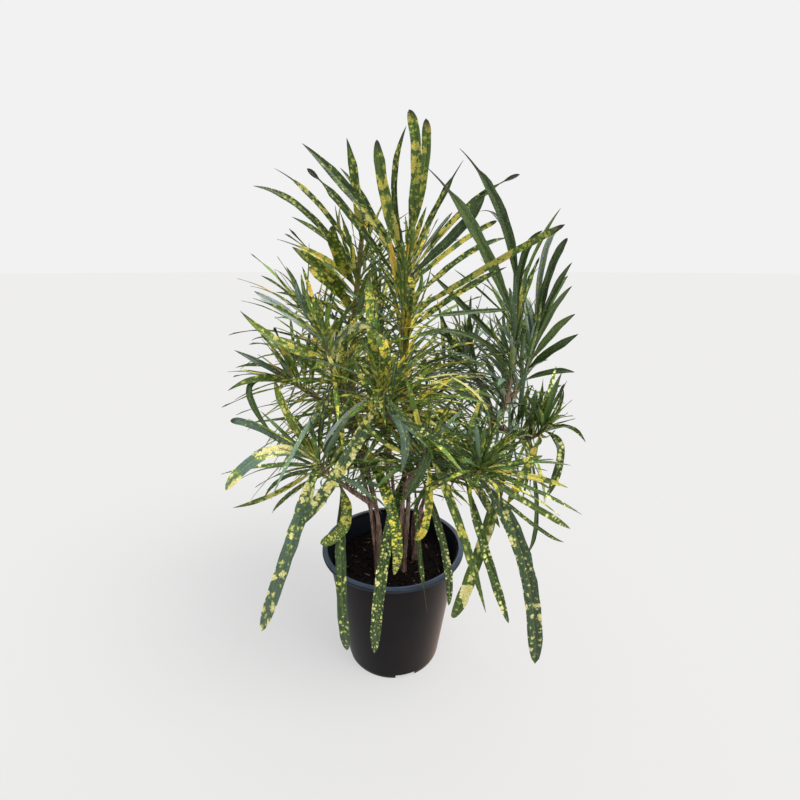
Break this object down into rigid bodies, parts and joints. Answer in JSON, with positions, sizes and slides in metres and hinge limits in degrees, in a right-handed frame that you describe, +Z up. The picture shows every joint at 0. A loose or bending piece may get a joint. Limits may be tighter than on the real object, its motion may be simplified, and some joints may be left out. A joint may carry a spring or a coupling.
{
  "type": "potted croton",
  "caption": "Bushy croton with branched woody stems and long narrow gold-spotted leaves, standing in soil in a round black nursery pot.",
  "frame": {"origin": "centre of the pot's flat underside, on the floor", "axes": "+Z up along the pot's axis, -Y towards the front of the plant, +X to the right"},
  "size_m": [0.44, 0.3694, 0.707],
  "materials": {
    "pot_plastic": "matt black, slightly worn",
    "soil": "damp crumbly compost with a few pale bits",
    "leaf_spotted": "satin dark green leaf with gold and cream spots",
    "leaf_plain": "satin dark green leaf with a paler midrib",
    "bark": "dry grey-brown bark with leaf scars"
  },
  "bodies": {
    "root": {"pot": "pot_plastic", "soil": "soil", "stem_left": "leaf_spotted", "stem_centre": "leaf_spotted", "stem_right": "leaf_plain", "stem_back": "leaf_plain"}
  },
  "joints": []
}
